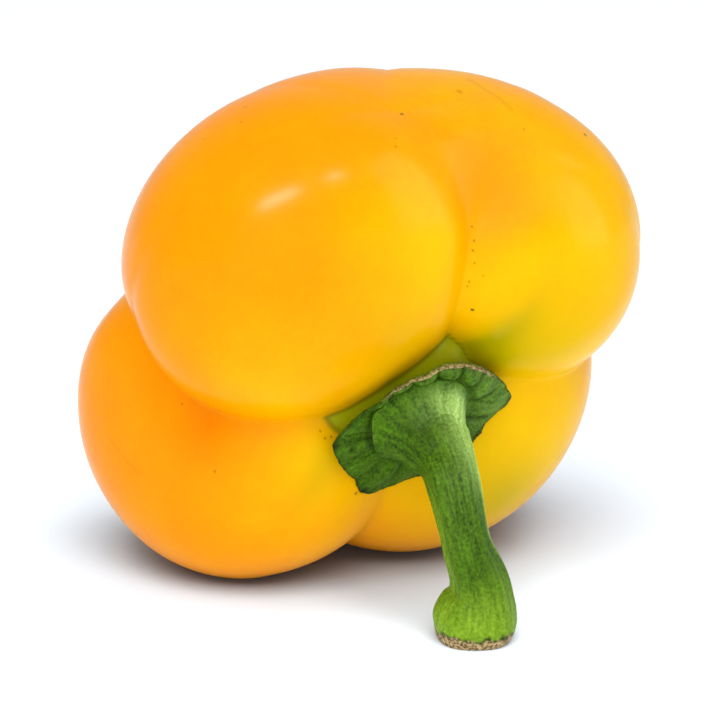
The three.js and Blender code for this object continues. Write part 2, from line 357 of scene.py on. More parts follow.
def skin_colouring(rays):
    lengths = np.stack(lobe_lengths(rays))
    lobed = lengths.max(0)
    weights = np.exp((lengths - lobed) / RIPENESS_BLEND)
    weights /= weights.sum(0)
    ripe_and_shade = np.array(list(RIPENESS.values())) @ weights
    polar = angles_of(rays)[1]
    ripe_and_shade = ripe_and_shade - STEM_PALING * (1 - smooth_step(*PALE_BY_STEM, polar))
    # this also deepens the orange along the upper crease as painted shade
    ripe_and_shade = ripe_and_shade + sum(change * patch(rays, *place) for *place, change in RIPE_AND_SHADE_PATCHES)
    dome = neck_distance(rays)
    neck = smooth_step(*NECK_EDGE, dome - lobed)
    depths = zip(furrow_depths(rays, lobed), FURROWS)
    sunk = [depth / furrow["depth"] for depth, furrow in depths if furrow["depth"] > 0]
    halo = np.exp(-np.maximum(lobed - dome, 0) / HALO)
    green = sum(amount * patch(rays, *place) for *place, amount in OLIVE_PATCHES)
    seam = SEAM["share"] * np.exp(-((dome - lobed - SEAM["at"]) / SEAM["width"]) ** 2)
    dull = sum(amount * patch(rays, *place) for *place, amount in DULL_PATCHES)
    return {"ripe_and_shade": np.clip(ripe_and_shade, 0, 1), "neck": neck, "seam": seam, "dull": np.clip(dull, 0, 1),
            "olive": np.clip(FURROW_OLIVE * sum(sunk) + HALO_OLIVE * halo + green, 0, 1)}


for attribute_name, attribute_values in skin_colouring(fruit_rays).items():
    add_attribute(fruit, attribute_name, attribute_values)
    print(attribute_name, attribute_values.min().round(2), "to", attribute_values.max().round(2))

# %% [markdown]
# Nodes in one place
#
# Both finishes are small node trees. One function adds a node with its settings and links, and one
# turns the colours, which are written as they look on a screen, into the linear values that a
# shader reckons with.

# %% Node helper
def linear(code):
    """An sRGB colour such as "#f9a602" as linear red, green, blue and alpha."""
    shares = [int(code[i:i + 2], 16) / 255 for i in (1, 3, 5)]
    return [s / 12.92 if s <= 0.04045 else ((s + 0.055) / 1.055) ** 2.4 for s in shares] + [1]


def add_node(tree, kind, inputs=None, **settings):
    """Adds one node: settings are its own options, inputs are values or sockets to link from."""
    node = tree.nodes.new(kind)
    for name, value in settings.items():
        setattr(node, name, value)
    for key, value in (inputs or {}).items():
        if isinstance(value, bpy.types.NodeSocket):
            tree.links.new(value, node.inputs[key])
        else:
            node.inputs[key].default_value = value
    return node


def new_material(name):
    material = bpy.data.materials.new(name)
    material.use_nodes = True
    material.node_tree.nodes.clear()
    return material, material.node_tree


print("linear ripe yellow:", [round(x, 3) for x in linear("#f9a602")[:3]])

# %% [markdown]
# Specks and scratches
#
# A picked pepper has a few dark specks, a row of them along the crease, and hair-fine scratches.
# They could be painted on an image. Here each speck is a place on the skin, a scratch is a row of
# places, and the shader darkens whatever is near one. Noise pulls their outlines out of round.

# %% Skin marks
# bearing and angle from the axis in degrees, size in mm, and how dark the speck is
MARKS = (
    (82, 88, 0.45, 0.8), (87, 80, 0.35, 0.3), (88, 78, 0.4, 0.35), (65, 96, 0.8, 0.3), (56, 84, 0.3, 0.4),
    (41, 86, 0.5, 0.75), (69, 65, 0.28, 0.7), (68, 62, 0.25, 0.7), (68, 60, 0.25, 0.6), (67, 57, 0.25, 0.7),
    (67, 53, 0.28, 0.7), (67, 52, 0.25, 0.6), (64, 54, 0.25, 0.4), (62, 46, 0.35, 0.95), (178, 36, 0.35, 0.6),
    (178, 34, 0.3, 0.6), (174, 38, 0.3, 0.5), (-172, 64, 0.35, 0.4), (176, 80, 0.35, 0.4),
    (-140, 31, 0.45, 0.5), (109, 98, 0.35, 0.35), (111, 93, 0.3, 0.35), (118, 95, 0.3, 0.35))
# from one bearing and angle to another, and how dark the scratch is
SCRATCHES = (((60, 101), (57, 89), 0.16), ((-169, 94), (-166, 82), 0.08))
SCRATCH_DOTS = 16
SCRATCH_WIDTH = 0.6  # mm
MARK_CORE = 0.4  # the share of a speck's size that is darkest
MARK_WOBBLE = 0.35  # mm
WOBBLE_GRAIN = 0.4  # mm


def on_skin(bearing, polar):
    """The place of the skin at a bearing and an angle from the axis, in metres of the row's frame."""
    turn, tip = math.radians(bearing), math.radians(polar)
    ray = np.array([[math.sin(tip) * math.cos(turn), math.sin(tip) * math.sin(turn), math.cos(tip)]])
    return to_row(ray * skin_distance(ray)[:, None])[0] * MM


def all_marks():
    marks = list(MARKS)
    for start, end, depth in SCRATCHES:
        for share in np.linspace(0, 1, SCRATCH_DOTS):
            bearing, polar = np.array(start) + share * (np.array(end) - np.array(start))
            marks.append((bearing, polar, SCRATCH_WIDTH, depth))
    return marks


def blemishes(tree, place):
    """One value that is high on every speck and scratch of the skin."""
    wobble = add_node(tree, "ShaderNodeTexNoise", {
        "Vector": place, "Scale": 1 / (WOBBLE_GRAIN * MM), "Detail": 2})
    shift = add_node(tree, "ShaderNodeVectorMath", {
        0: wobble.outputs["Color"], 1: [2 * MARK_WOBBLE * MM] * 3, 2: [-MARK_WOBBLE * MM] * 3},
        operation="MULTIPLY_ADD")
    moved = add_node(tree, "ShaderNodeVectorMath", {0: place, 1: shift.outputs["Vector"]}, operation="ADD")
    total = 0.0
    for bearing, polar, size, depth in all_marks():
        apart = add_node(tree, "ShaderNodeVectorMath", {
            0: moved.outputs["Vector"], 1: on_skin(bearing, polar)}, operation="DISTANCE")
        inside = add_node(tree, "ShaderNodeMapRange", {
            "Value": apart.outputs["Value"], "From Min": size * MM, "From Max": MARK_CORE * size * MM,
            "To Min": 0.0, "To Max": depth})
        darkest = add_node(tree, "ShaderNodeMath", {0: total, 1: inside.outputs[0]}, operation="MAXIMUM")
        total = darkest.outputs[0]
    return total


print(len(MARKS), "specks and", len(SCRATCHES), "scratches")

# %% [markdown]
# Waxy pepper skin
#
# Pepper skin is a thin clear wax over coloured flesh. The wax gives a soft gloss that brightens
# towards the outline and blurs where the wax is thin. The flesh lets light in a little, so shaded
# parts glow orange instead of going grey. Slow clouds and a mottle of a millimetre or so in the
# ripeness keep it from looking like plastic, and tiny pores break up the gloss.

# %% Skin material
CLOUD = 9  # mm
CLOUD_DRIFT = 0.22  # how far the clouds move the ripeness
MOTTLE = 1.3  # mm
MOTTLE_DRIFT = 0.12
PORE = 0.55  # mm
PORE_DEPTH = 0.1  # mm
WAX_ROUGHNESS = (0.22, 0.6)  # where the wax is whole, and where it is thin
RIPE_COLOURS = ((0.0, "#f8c400"), (0.5, "#f69c00"), (1.0, "#ee7600"))


def waxy_pepper_skin():
    material, tree = new_material("waxy_pepper_skin")
    place = add_node(tree, "ShaderNodeTexCoord").outputs["Object"]
    read = {name: add_node(tree, "ShaderNodeAttribute", attribute_name=name).outputs["Fac"]
            for name in ("ripe_and_shade", "neck", "olive", "seam", "dull")}
    cloud, mottle, pore = (
        add_node(tree, "ShaderNodeTexNoise", {"Vector": place, "Scale": 1 / (size * MM), "Detail": detail})
        for size, detail in ((CLOUD, 2), (MOTTLE, 3), (PORE, 1)))
    drift = add_node(tree, "ShaderNodeMath", {
        0: cloud.outputs["Fac"], 1: CLOUD_DRIFT, 2: -CLOUD_DRIFT / 2}, operation="MULTIPLY_ADD")
    grain = add_node(tree, "ShaderNodeMath", {
        0: mottle.outputs["Fac"], 1: MOTTLE_DRIFT, 2: drift.outputs[0]}, operation="MULTIPLY_ADD")
    ripeness_and_shade = add_node(tree, "ShaderNodeMath", {0: read["ripe_and_shade"], 1: grain.outputs[0]}, operation="ADD")
    ripe_and_shade = add_node(tree, "ShaderNodeValToRGB", {"Fac": ripeness_and_shade.outputs[0]})
    ripe_and_shade.color_ramp.elements.new(RIPE_COLOURS[1][0])
    for element, (position, code) in zip(ripe_and_shade.color_ramp.elements, RIPE_COLOURS):
        element.position, element.color = position, linear(code)
    colour = ripe_and_shade.outputs["Color"]
    for share, code in ((read["olive"], "#b0a000"), (read["neck"], "#9a9c06"), (read["seam"], "#5c4604"),
                        (blemishes(tree, place), "#3c2a0a")):
        mix = add_node(tree, "ShaderNodeMix", {0: share, 6: colour, 7: linear(code)}, data_type="RGBA")
        colour = mix.outputs[2]
    gloss = add_node(tree, "ShaderNodeMapRange", {
        "Value": read["dull"], "To Min": WAX_ROUGHNESS[0], "To Max": WAX_ROUGHNESS[1]})
    bump = add_node(tree, "ShaderNodeBump", {
        "Height": pore.outputs["Fac"], "Strength": 0.1, "Distance": PORE_DEPTH * MM})
    shader = add_node(tree, "ShaderNodeBsdfPrincipled", {
        "Base Color": colour, "Roughness": gloss.outputs[0], "IOR": 1.45, "Specular IOR Level": 0.05,
        "Normal": bump.outputs["Normal"], "Subsurface Weight": 0.12, "Subsurface Radius": (1.0, 0.5, 0.08),
        "Subsurface Scale": 2.5 * MM})
    add_node(tree, "ShaderNodeOutputMaterial", {"Surface": shader.outputs[0]})
    return material


fruit.data.materials.append(waxy_pepper_skin())
print("skin nodes:", len(fruit.data.materials[0].node_tree.nodes))

# %% [markdown]
# The stem's middle line
#
# The stem leaves the calyx square to it, bends down and stands on its cut end. A smooth line through
# a few points gives its run, and half-widths along that run give the knob at the foot, the waist and
# the trumpet under the calyx.

# %% Stem line
CALYX_MIDDLE = np.array((0, 2, 24.5))  # in the fruit's frame
FLARE_HEIGHT = 6
BEND_HEIGHT = 9.6
STEM_LINE = np.array(((18.4, -35.5, 0), (19.3, -36.7, 8.4), (17.4, -36.8, 16.2), (15.4, -33.4, 24.7)))
STEM_WIDTHS = np.array(((0.0, 5.6), (0.05, 6.3), (0.1, 6.7), (0.16, 6.3), (0.23, 5.4), (0.3, 4.8), (0.4, 4.1),
                        (0.5, 3.65), (0.6, 3.75), (0.75, 4.1), (0.88, 4.4), (1, 5.6)))
STEM_ROWS = 90
SIDES = 360
LINE_STEPS = 40  # from one point to the next


def line_through(points, count):
    """A smooth line through points, as count places spaced evenly along it."""
    ends = np.vstack((2 * points[0] - points[1], points, 2 * points[-1] - points[-2]))
    share = np.linspace(0, 1, LINE_STEPS, endpoint=False)[:, None]
    runs = []
    for a, b, c, d in zip(ends, ends[1:], ends[2:], ends[3:]):
        curve = 2 * b + (c - a) * share + (2 * a - 5 * b + 4 * c - d) * share**2
        runs.append((curve + (3 * b - a - 3 * c + d) * share**3) / 2)
    fine = np.vstack(runs + [points[-1:]])
    along = np.concatenate(([0], np.cumsum(np.linalg.norm(np.diff(fine, axis=0), axis=1))))
    even = np.linspace(0, along[-1], count)
    return np.stack([np.interp(even, along, column) for column in fine.T], 1)


bend_and_flare = CALYX_MIDDLE + np.array(((0, 0, BEND_HEIGHT), (0, 0, FLARE_HEIGHT)))
stem_line = line_through(np.vstack((to_fruit(STEM_LINE), bend_and_flare)), STEM_ROWS)
stem_run = np.linalg.norm(np.diff(stem_line, axis=0), axis=1).sum()
print("stem runs", round(stem_run, 1), "mm from its cut end to the flare")

# %% [markdown]
# Rings of the stem
#
# Each ring stands square to the line. Five blunt ribs run up the stem, and finer ridges follow them.
# On one side the knob starts with a ledge, where an old shoot left the stem. The ridges come from
# noise read on a drum as wide as the stem and much shortened, so they close round it and run along.

# %% Stem rings
bearings = np.arange(SIDES) * 2 * math.pi / SIDES
degrees = np.degrees(bearings)
RIBS = {"count": 5, "depth": 0.25}
RIDGE_HEIGHT = 0.13
RIDGE_WIDTH = 0.5
KNOB_RELIEF = 0.4  # the share of ribs and ridges that is left on the knob
KNOB_ENDS = (0.1, 0.3)  # as shares of the stem's length
LEDGE = {"bearing": 190, "spread": 50, "shares": (0.22, 0.245, 0.5), "depth": 1.0}
DRUM_RADIUS = 4
DRUM_SHORTENED = 9
WIDTH_STEPS = 200


def on_drum(along):
    """A ring's places on the drum, for a distance along the stem."""
    height = np.full(SIDES, along / DRUM_SHORTENED)
    return np.stack((DRUM_RADIUS * np.cos(bearings), DRUM_RADIUS * np.sin(bearings), height), 1)


def stem_reach(share, width):
    """Distance of the stem's skin from its line, round one ring."""
    relief = KNOB_RELIEF + (1 - KNOB_RELIEF) * smooth_step(*KNOB_ENDS, share)
    ridges = 1 - 2 * np.abs(noise_at(on_drum(share * stem_run), RIDGE_WIDTH))
    bumps = (RIBS["depth"] * np.cos(RIBS["count"] * bearings) + RIDGE_HEIGHT * ridges) * relief
    starts, sunk, ends = LEDGE["shares"]
    ledge = smooth_step(starts, sunk, share) * (1 - smooth_step(sunk, ends, share))
    return width + bumps - LEDGE["depth"] * ledge * near_line(degrees, LEDGE)


def stem_rings():
    smooth_widths = line_through(STEM_WIDTHS, WIDTH_STEPS)
    tangents = unit(np.gradient(stem_line, axis=0))
    rings = []
    for share, middle, tangent in zip(stem_shares, stem_line, tangents):
        side = unit(np.array((1.0, 0, 0)) - tangent[0] * tangent)
        front = np.cross(-tangent, side)
        reach = stem_reach(share, np.interp(share, *smooth_widths.T))
        outwards = np.cos(bearings)[:, None] * side + np.sin(bearings)[:, None] * front
        ring = middle + reach[:, None] * outwards
        rings.append(to_fruit(on_floor(to_row(ring))))
    return rings


stem_shares = np.linspace(0, 1, STEM_ROWS)
stem_part = stem_rings()
print(len(stem_part), "rings of", SIDES, "places on the stem")

# %% [markdown]
# The calyx
#
# The calyx is the green star that held the flower, now a thin leathery collar. Its outline runs in
# nearly straight stretches between tips and hollows. The stem's trumpet spreads over it unevenly, far
# to the upper left and hardly at all below, and ends there in a lip that overhangs the leaf. Round
# the rest the collar is gathered into puffy folds with sharp valleys.

# %% Calyx outline
# bearing in degrees, reach, lift
CALYX_EDGE = np.array((
    (0, 15.8, 0.2), (14, 14.7, 0.4), (42, 13.2, 0.8), (76, 12.4, 1.3), (88, 11.2, 1.5), (136, 11, 1.2),
    (166, 13.8, 0.3), (179, 15.3, 0), (200, 14.7, 0), (217, 14.3, 0), (230, 15.9, 0), (254, 12.4, 0),
    (272, 11.4, 0), (300, 9, 0), (326, 11, 0), (342, 12.4, 0), (354, 15.2, 0)))
# bearing in degrees, reach, height of the lip, overhang
TRUMPET_EDGE = np.array((
    (0, 7.4, 1.6, 0), (20, 7.8, 2, 0), (45, 9.4, 2.3, 0), (80, 10, 2.3, 0), (110, 9.9, 2.1, 0),
    (130, 10.4, 2.1, 0.2), (147, 11, 2.3, 0.8), (164, 9.8, 2.9, 1.1), (191, 8.8, 3.1, 1.2),
    (215, 7.1, 2.9, 1.2), (245, 6.1, 2.4, 1), (265, 6, 1.6, 0.2), (320, 6.2, 1.4, 0)))
LEAF_MARGIN = 0.7  # the least width of leaf past the trumpet
EDGE_RAGS = 0.22
RAGS = ((0, 0.35, 1), (20, 0.14, 0.6))  # place along the drum, size, share


def round_the_ring(rows, column, softness):
    """A value given at a few bearings, at every bearing of a ring, with its corners rounded."""
    values = np.interp(degrees, rows[:, 0], rows[:, column], period=360)
    steps = int(softness / 360 * SIDES)
    weights = np.hanning(2 * steps + 3)[1:-1]
    padded = np.concatenate((values[-steps:], values, values[:steps]))
    return np.convolve(padded, weights / weights.sum(), mode="valid")


rags = sum(share * noise_at(on_drum(along), size) for along, size, share in RAGS)
edge_reach = round_the_ring(CALYX_EDGE, column=1, softness=3) + EDGE_RAGS * rags
edge_lift = round_the_ring(CALYX_EDGE, column=2, softness=12)
trumpet_reach = np.minimum(round_the_ring(TRUMPET_EDGE, column=1, softness=6), edge_reach - LEAF_MARGIN)
trumpet_lip = round_the_ring(TRUMPET_EDGE, column=2, softness=20)
overhang = round_the_ring(TRUMPET_EDGE, column=3, softness=8)
print("calyx reaches from", edge_reach.min().round(1), "to", edge_reach.max().round(1), "mm")

# %% [markdown]
# Folds
#
# A gathered fold is round on top and meets its neighbour in a sharp valley, like cushions side by
# side. Every bearing gets its place across its fold, from -1 to 1, and half a circle over that width
# gives the height.

# %% Folds
# bearing in degrees, height
FOLDS = np.array((
    (4, 1.7), (25, 2), (46, 2.1), (68, 1.9), (91, 1.6), (112, 0.8), (132, 0.5), (158, 0.4), (184, 0.5),
    (208, 0.5), (233, 1.1), (256, 1), (283, 0.8), (308, 0.9), (333, 1.9)))


def cushions():
    """The height of the fold at each bearing of a ring, and the round shape across it."""
    count = len(FOLDS)
    middles = np.append(FOLDS[:, 0], FOLDS[0, 0] + 360)
    place = np.interp((degrees - middles[0]) % 360 + middles[0], middles, np.arange(count + 1))
    nearest = np.rint(place)
    across = 2 * (place - nearest)
    return FOLDS[nearest.astype(int) % count, 1], np.sqrt(1 - np.minimum(across * across, 1))


fold_heights, fold_shapes = cushions()
fold_crests = fold_heights * fold_shapes
print("folds up to", fold_crests.max().round(2), "mm high")

# %% [markdown]
# Rings of the calyx
#
# The rings go on from the stem: down the trumpet to its lip, in under the lip, out across the folds
# to the edge, and back underneath. A ring is pushed out wherever it would touch the fruit. On the
# upper side the edge is a corky hem, a little thicker than the leaf.

# %% Calyx rings
STEM_TOP = 5.6
TRUMPET_ROWS, LEAF_ROWS, UNDER_ROWS = 26, 36, 10
TRUMPET_POWER = 1.6  # how suddenly the trumpet flares
# past the lip: outwards, in mm and as a share of the overhang, and upwards likewise
LIP_ROWS = ((0.12, 0, -0.2, 0), (0.12, -0.35, -0.4, -0.5))
LEAF_START = (0.14, -0.9, -0.6, -0.9)
LEAF_HEIGHT = 0.4
LEAF_THICKNESS = 0.55
LEAF_GAP = 0.15
FACE_GAP = LEAF_GAP + LEAF_THICKNESS
LIFT_POWER = 3
# shares of the way across the leaf: where its foot ends, and where the folds rise and sink
FOOT_END = 0.2
FOLDS_RISE = (0, 0.3)
FOLDS_SINK = (0.55, 1)
FOLDS_SINK_BY = 0.8
HEM = {"bearing": 78, "spread": 52, "height": 0.3, "across": (0.84, 0.95)}


def clear_of_skin(points, gap):
    lengths = np.linalg.norm(points, axis=1)
    rays = points / lengths[:, None]
    return rays * np.maximum(lengths, skin_distance(rays) + gap)[:, None]


def calyx_ring(reach, height, gap):
    flat = np.stack((reach * np.cos(bearings), reach * np.sin(bearings), height), 1)
    return clear_of_skin(flat + CALYX_MIDDLE, gap)


def past_lip(out, out_share, up, up_share):
    """Reach and height of a ring that lies past the trumpet's lip."""
    return trumpet_reach + out + out_share * overhang, trumpet_lip + up + up_share * overhang


def trumpet_rings():
    rings = []
    for share in np.linspace(0, 1, TRUMPET_ROWS)[1:]:
        reach = STEM_TOP + (trumpet_reach - STEM_TOP) * share
        height = trumpet_lip + (FLARE_HEIGHT - trumpet_lip) * (1 - share) ** TRUMPET_POWER
        rings.append(calyx_ring(reach, height, FACE_GAP))
    return rings + [calyx_ring(*past_lip(*row), FACE_GAP) for row in LIP_ROWS]


def leaf_rings():
    starts, start_height = past_lip(*LEAF_START)
    hem = HEM["height"] * near_line(degrees, HEM)
    rings = []
    for share in np.linspace(0, 1, LEAF_ROWS):
        reach = starts + (edge_reach - starts) * share
        foot = max(1 - share / FOOT_END, 0) ** 2
        crest = smooth_step(*FOLDS_RISE, share) * (1 - FOLDS_SINK_BY * smooth_step(*FOLDS_SINK, share))
        height = LEAF_HEIGHT + (start_height - LEAF_HEIGHT) * foot + fold_crests * crest
        lift = edge_lift * (reach / edge_reach) ** LIFT_POWER
        height = height + lift + hem * smooth_step(*HEM["across"], share)
        rings.append(calyx_ring(reach, height, FACE_GAP))
    return rings


def under_rings():
    rings = []
    for share in np.linspace(1, 0, UNDER_ROWS):
        height = LEAF_HEIGHT - LEAF_THICKNESS + edge_lift * share**LIFT_POWER
        rings.append(calyx_ring(share * edge_reach, height, LEAF_GAP))
    return rings


trumpet_part, leaf_part, under_part = trumpet_rings(), leaf_rings(), under_rings()
print(len(trumpet_part), "rings on the trumpet,", len(leaf_part), "on the leaf,", len(under_part), "below")

# %% [markdown]
# One closed mesh for stem and calyx
#
# All the rings together are a sphere in disguise: its top point is the middle of the cut end and its
# bottom point the middle of the calyx's underside. So the piece starts as a UV sphere with as many
# rows as there are rings, and every vertex moves to its place on its ring.

# %% Stem mesh
CUT_SHARES = (0, 0.35, 0.7, 0.9)  # from the middle of the cut end to its edge
foot_middle = stem_part[0].mean(0)
cut_part = [foot_middle + share * (stem_part[0] - foot_middle) for share in CUT_SHARES]
parts = {"cut": cut_part, "stem": stem_part, "trumpet": trumpet_part, "leaf": leaf_part, "under": under_part}
all_rings = np.stack([ring for part in parts.values() for ring in part])
last_row = len(all_rings) - 1
sphere = bmesh.new()
bmesh.ops.create_uvsphere(sphere, u_segments=SIDES, v_segments=last_row, radius=1)
on_sphere = np.array([vertex.co for vertex in sphere.verts])
row_of = np.rint(np.arccos(np.clip(on_sphere[:, 2], -1, 1)) / math.pi * last_row).astype(int)
side_of = np.rint(np.arctan2(on_sphere[:, 1], on_sphere[:, 0]) / (2 * math.pi) * SIDES).astype(int) % SIDES
stem = mesh_piece("stem_and_calyx", sphere, to_row(all_rings[row_of, side_of]))
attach(stem, "root")
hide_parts("stem_with_calyx")

# %% [markdown]
# Places on the rings
#
# The green is painted on the rings first and handed to the vertices afterwards, because a ring knows
# how far along the stem or across the leaf it is. Three helpers find a part's rows, the places on
# the drum, which the streaks of the green need, and round spots on the calyx.

# %% Places on the rings
def rows_of(part):
    names = list(parts)
    first = sum(len(parts[name]) for name in names[:names.index(part)])
    return slice(first, first + len(parts[part]))


def drum_places():
    """Where each ring lies on the drum: the stem's length first, then out over the calyx."""
    steps = np.linalg.norm(np.diff(all_rings, axis=0), axis=2).mean(1)
    return np.stack([on_drum(along) for along in np.concatenate(([0], np.cumsum(steps)))])


def spot(bearing, reach, size):
    """1 at a place of the calyx, fading over so many millimetres."""
    turn = math.radians(bearing)
    flat = all_rings[..., :2] - CALYX_MIDDLE[:2] - reach * np.array((math.cos(turn), math.sin(turn)))
    return np.exp(-(flat * flat).sum(2) / size**2)


def stripe_of(stripe, shares):
    """A stripe along rings: strongest at its bearing, and rising over shares of their run."""
    return stripe["amount"] * near_line(degrees, stripe) * smooth_step(*stripe["rise"], shares)


print("rows:", {part: (rows_of(part).start, rows_of(part).stop) for part in parts})

# %% [markdown]
# What colours the stem
#
# The stem has a painted highlight on its bend and along one rib, and painted shade in the hollow
# beside the bend. It is yellower on the knob and down the shaded side. It is corky at the foot, where
# it was cut, and in a patch on the knob, and the edge of that cork has dried dark. Noise makes the
# edge ragged.

# %% Stem colours
FOOT_CORK = {"height": 2.0, "rags": 0.9, "edge": 0.15, "rim": 0.22, "rim_amount": 0.9}
PATCH_CORK = {"bearing": 2, "spread": 20, "height": 3.6, "reach": 1.5, "rags": 0.35, "edge": (0.35, 0.6)}
KNOB_YELLOW = (0.1, 0.42)
SIDE_YELLOW = {"bearing": 195, "spread": 40, "rise": (0.9, 0.6), "amount": 0.7}
# painted highlight on the bend and along one rib
HIGHLIGHT_STRIPES = ({"bearing": 38, "spread": 36, "rise": (0.6, 0.95), "amount": 1},
                {"bearing": 10, "spread": 9, "rise": (0.3, 0.5), "amount": 0.8})
# painted shade in the hollow beside the bend
BEND_SHADE = {"bearing": 128, "spread": 24, "rise": (0.8, 1), "amount": 0.3}


def paint_stem(paint, ragged, height):
    rows = rows_of("stem")
    shares = stem_shares[:, None]
    line = FOOT_CORK["height"] + FOOT_CORK["rags"] * ragged - height
    paint["cork"][:rows.stop] = smooth_step(-FOOT_CORK["edge"], FOOT_CORK["edge"], line)[:rows.stop]
    rim = FOOT_CORK["rim_amount"] * np.exp(-(line[rows] / FOOT_CORK["rim"]) ** 2)
    paint["dried_and_shade"][rows] = np.maximum(rim, stripe_of(BEND_SHADE, shares))
    level = np.exp(-((height[rows] - PATCH_CORK["height"]) / PATCH_CORK["reach"]) ** 2)
    patched = near_line(degrees, PATCH_CORK) * level + PATCH_CORK["rags"] * ragged[rows]
    paint["cork"][rows] = np.maximum(paint["cork"][rows], smooth_step(*PATCH_CORK["edge"], patched))
    paint["yellow"][rows] = np.maximum(1 - smooth_step(*KNOB_YELLOW, shares), stripe_of(SIDE_YELLOW, shares))
    paint["pale_and_highlight"][rows] = sum(stripe_of(stripe, shares) for stripe in HIGHLIGHT_STRIPES)


print("cork rises", FOOT_CORK["height"], "mm at the foot")

# %% [markdown]
# What colours the calyx
#
# The trumpet carries the painted highlight on from the bend, with painted shade beside it. The leaf
# is corky along its hem, where it was torn, and dried dark at its tips. Painted shade darkens the rest
# of its edge, the valleys between the folds and the leaf under the lip, and one small hole shows as a
# dark spot of painted shade.

# %% Calyx colours
# painted highlight, going on from the bend
TRUMPET_HIGHLIGHT = {"bearing": 45, "spread": 38, "rise": (0, 0.7), "amount": 1}
# painted shade beside the highlight
TRUMPET_SHADE = {"bearing": 128, "spread": 24, "rise": (0.3, 1), "amount": 0.3}
LEAF_PALE = {"bearing": 5, "spread": 45, "amount": 0.14}
HEM_CORK = {"across": (0.86, 0.95), "rags": 0.06, "ends": (0.25, 0.6)}
# painted shade in the valleys between the folds
VALLEY_SHADE = {"steepness": (0.1, 0.75), "full": 1.5, "rise": (0, 0.1), "sink": (0.6, 0.95), "amount": 0.6}
# painted shade on the leaf under the trumpet's lip
UNDER_LIP_SHADE = {"fade": (0.05, 0.32), "by_hem": 0.5, "amount": 0.65}
# painted shadow along the leaf's edge, except on the hem
EDGE_SHADE = {"across": (0.95, 1), "amount": 0.75}
TIPS = ((179, 15.3, 1), (228, 15.4, 1), (358, 15.8, 1), (327, 11.6, 1))  # bearing, reach, size
# a small hole, shown only as a dark spot of painted shade
HOLE = (185, 12.5, 0.5)
RAG_SIZE = 0.9


def paint_trumpet(paint):
    rows = rows_of("trumpet")
    upwards = np.linspace(1, 0, len(trumpet_part))[:, None]
    paint["pale_and_highlight"][rows] = stripe_of(TRUMPET_HIGHLIGHT, upwards)
    paint["dried_and_shade"][rows] = stripe_of(TRUMPET_SHADE, upwards)


def paint_leaf(paint, ragged):
    rows = rows_of("leaf")
    across = np.linspace(0, 1, LEAF_ROWS)[:, None]
    hem = near_line(degrees, HEM)
    torn = smooth_step(*HEM_CORK["across"], across + HEM_CORK["rags"] * ragged[rows])
    paint["cork"][rows] = torn * smooth_step(*HEM_CORK["ends"], hem)
    paint["pale_and_highlight"][rows] = LEAF_PALE["amount"] * near_line(degrees, LEAF_PALE)
    steep = 1 - smooth_step(*VALLEY_SHADE["steepness"], fold_shapes)
    valley_shade = steep * np.minimum(fold_heights / VALLEY_SHADE["full"], 1)
    gathered_part = smooth_step(*VALLEY_SHADE["rise"], across) * (1 - smooth_step(*VALLEY_SHADE["sink"], across))
    covered = np.maximum(overhang, UNDER_LIP_SHADE["by_hem"] * hem)
    under_lip_shade = (1 - smooth_step(*UNDER_LIP_SHADE["fade"], across)) * covered
    edge_shade = EDGE_SHADE["amount"] * smooth_step(*EDGE_SHADE["across"], across) * (1 - hem)
    paint["dried_and_shade"][rows] = np.maximum.reduce((
        edge_shade, VALLEY_SHADE["amount"] * valley_shade * gathered_part, UNDER_LIP_SHADE["amount"] * under_lip_shade, spot(*HOLE)[rows]))


def green_colouring():
    drum = drum_places()
    shape = drum.shape[:2]
    ragged = noise_at(drum.reshape(-1, 3) * (1, 1, DRUM_SHORTENED), RAG_SIZE).reshape(shape)
    height = to_row(all_rings.reshape(-1, 3))[:, 2].reshape(shape)
    paint = {name: np.zeros(shape) for name in ("cork", "dried_and_shade", "yellow", "pale_and_highlight")}
    paint_stem(paint, ragged, height)
    paint_trumpet(paint)
    paint_leaf(paint, ragged)
    paint["dried_and_shade"] = np.maximum(paint["dried_and_shade"], sum(spot(*tip) for tip in TIPS))
    painted = {name: np.clip(values, 0, 1) for name, values in paint.items()}
    return {**painted, "drum": drum}


for attribute_name, attribute_values in green_colouring().items():
    add_attribute(stem, attribute_name, attribute_values[row_of, side_of])
    print(attribute_name, attribute_values.min().round(2), "to", attribute_values.max().round(2))

# %% [markdown]
# Leafy green
#
# Stem and calyx are matt green plant skin: fine streaks run along the stem and out over the calyx,
# and a mottle of half a millimetre lies over both. The same tone of streaks and mottle picks a shade
# from each ramp, so the grain goes on from green to yellow and to the pale of the painted highlight.
# Cork is a dry, rough tan. One dark colour serves for dried parts and for painted shade.

# %% Stem material
STREAK = 0.55  # mm across
LEAF_MOTTLE = 0.5  # mm
STREAK_SHARE = 0.45  # of the tone; the rest is mottle
TONES = (0.34, 0.66)  # where the darker and the lighter shade of a ramp are
CORK_TONES = (0.4, 0.58)
DRY_AND_SHADE = "#1a2208"


